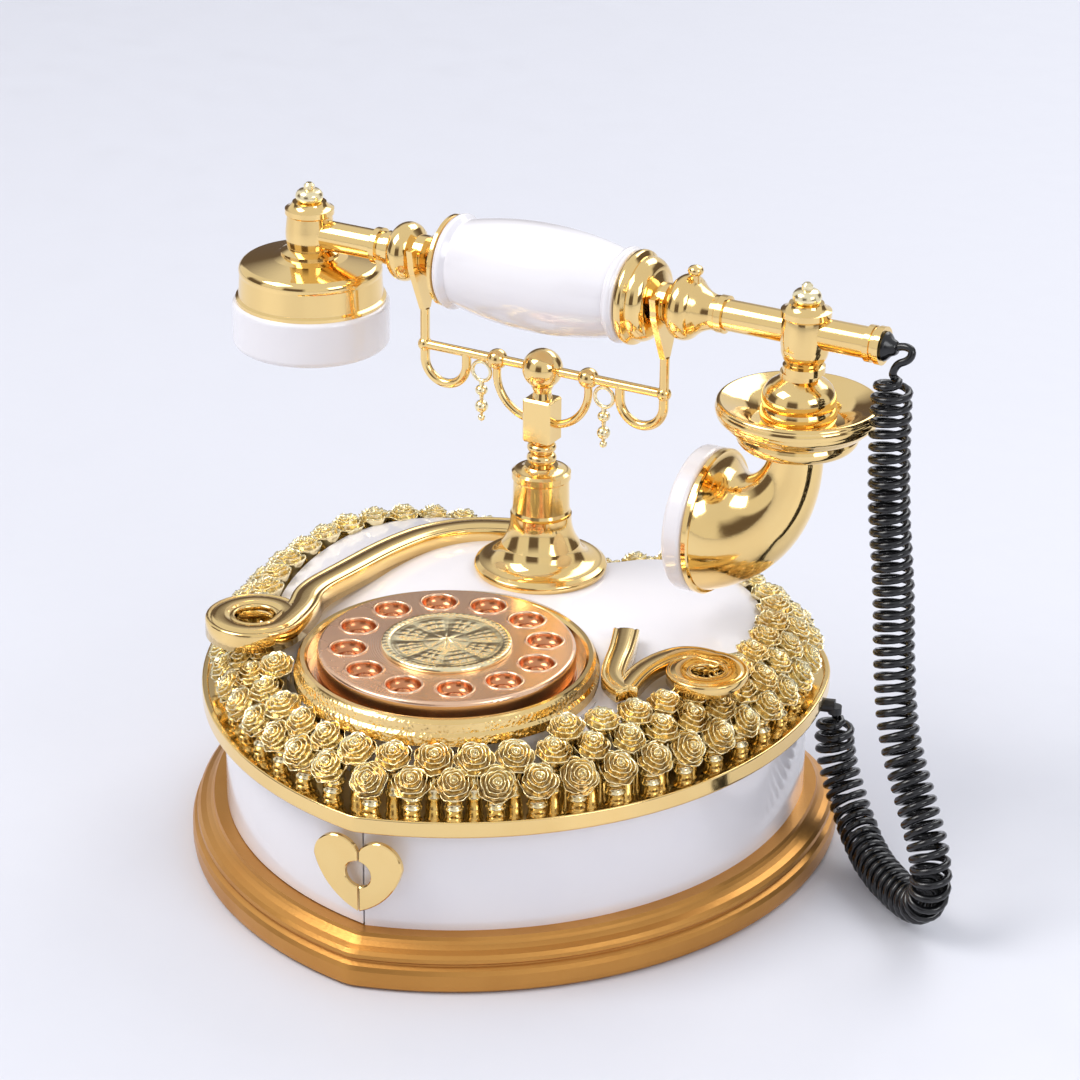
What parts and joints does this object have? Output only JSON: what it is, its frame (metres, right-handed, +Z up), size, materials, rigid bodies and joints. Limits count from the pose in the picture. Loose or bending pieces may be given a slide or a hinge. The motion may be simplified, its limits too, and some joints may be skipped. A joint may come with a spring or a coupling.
{
  "type": "cradle telephone",
  "caption": "French-style cradle telephone on a heart-shaped box, with lift-off handset, turning dial, gilt roses, scrolls, swing-out drawer and curly cord.",
  "frame": {"origin": "middle of the flat underside of the heart-shaped plinth", "axes": "+Z up, +X to the right of someone facing the dial, +Y to the back; the heart's tip and clasp point to -Y"},
  "size_m": [0.2619, 0.1913, 0.1931],
  "materials": {
    "gilt": "bright gold plating on moulded parts",
    "rose_gold": "satin rose-gold plating",
    "white_gloss": "glossy white lacquer",
    "bronze_paint": "satin bronze paint",
    "black_plastic": "moulded black",
    "black_cord": "glossy black coiled flex",
    "steel": "bright zinc",
    "brass": "machined",
    "velvet": "flocked lining"
  },
  "bodies": {
    "root": {"plinth": "bronze_paint", "base_cover": "black_plastic", "base_screws": "steel", "right_body_half": "white_gloss", "drawer_pivot_pin": "steel", "clasp_right": "gilt", "rose_tray": "gilt", "roses_outer": "gilt", "roses_middle": "gilt", "roses_inner": "gilt", "lid": "white_gloss", "lid_screws": "steel", "dial_bezel": "gilt", "dial_plate": "rose_gold", "spindle_bush": "brass", "movement_case": "brass", "left_scroll": "gilt", "right_scroll": "gilt", "bell_flare": "gilt", "bell_neck": "gilt", "column_beads": "gilt", "column_block": "gilt", "column_rod": "steel", "column_nut": "steel", "cradle_ball": "gilt", "cradle_bar": "gilt", "bar_knobs": "gilt", "left_hook": "gilt", "right_hook": "gilt", "cradle_braces": "gilt", "cradle_forks": "gilt", "pendants": "gilt", "cord_socket": "black_plastic", "curly_cord": "black_cord"},
    "drawer": {"left_drawer": "white_gloss", "drawer_lining": "velvet", "clasp_left": "gilt"},
    "dial": {"finger_wheel": "rose_gold", "dial_medallion": "gilt", "dial_spindle": "steel", "dial_gear": "brass"},
    "movement_drum": {"movement_gear": "brass"},
    "handset": {"earpiece_cap": "white_gloss", "earpiece_shell": "gilt", "earpiece_post": "gilt", "left_rod": "gilt", "left_bead": "gilt", "left_cup": "gilt", "grip": "white_gloss", "right_cup": "gilt", "right_bead": "gilt", "right_rod": "gilt", "mouthpiece_post": "gilt", "post_finials": "gilt", "mouthpiece_flange": "gilt", "mouthpiece_horn": "gilt", "mouthpiece_cap": "white_gloss", "handset_gland": "black_plastic", "tie_rod": "steel"}
  },
  "joints": [
    {"name": "handset_lift", "type": "slide", "parent": "root", "child": "handset", "axis": [0, 0, 1], "range_m": [0, 0.08]},
    {"name": "dial_turn", "type": "hinge", "parent": "root", "child": "dial", "pos_m": [0, -0.0279, 0.08], "axis": [0, 0, 1], "continuous": true},
    {"name": "movement_turn", "type": "hinge", "parent": "root", "child": "movement_drum", "pos_m": [0.0105, -0.00971, 0.063], "axis": [0, 0, 1], "continuous": true},
    {"name": "drawer_swing", "type": "hinge", "parent": "root", "child": "drawer", "pos_m": [-0.014, 0.062, 0.03], "axis": [0, 0, -1], "range_deg": [0, 60]}
  ],
  "couplings": [
    {"joint": "movement_turn", "follows": "dial_turn", "ratio": -2}
  ]
}
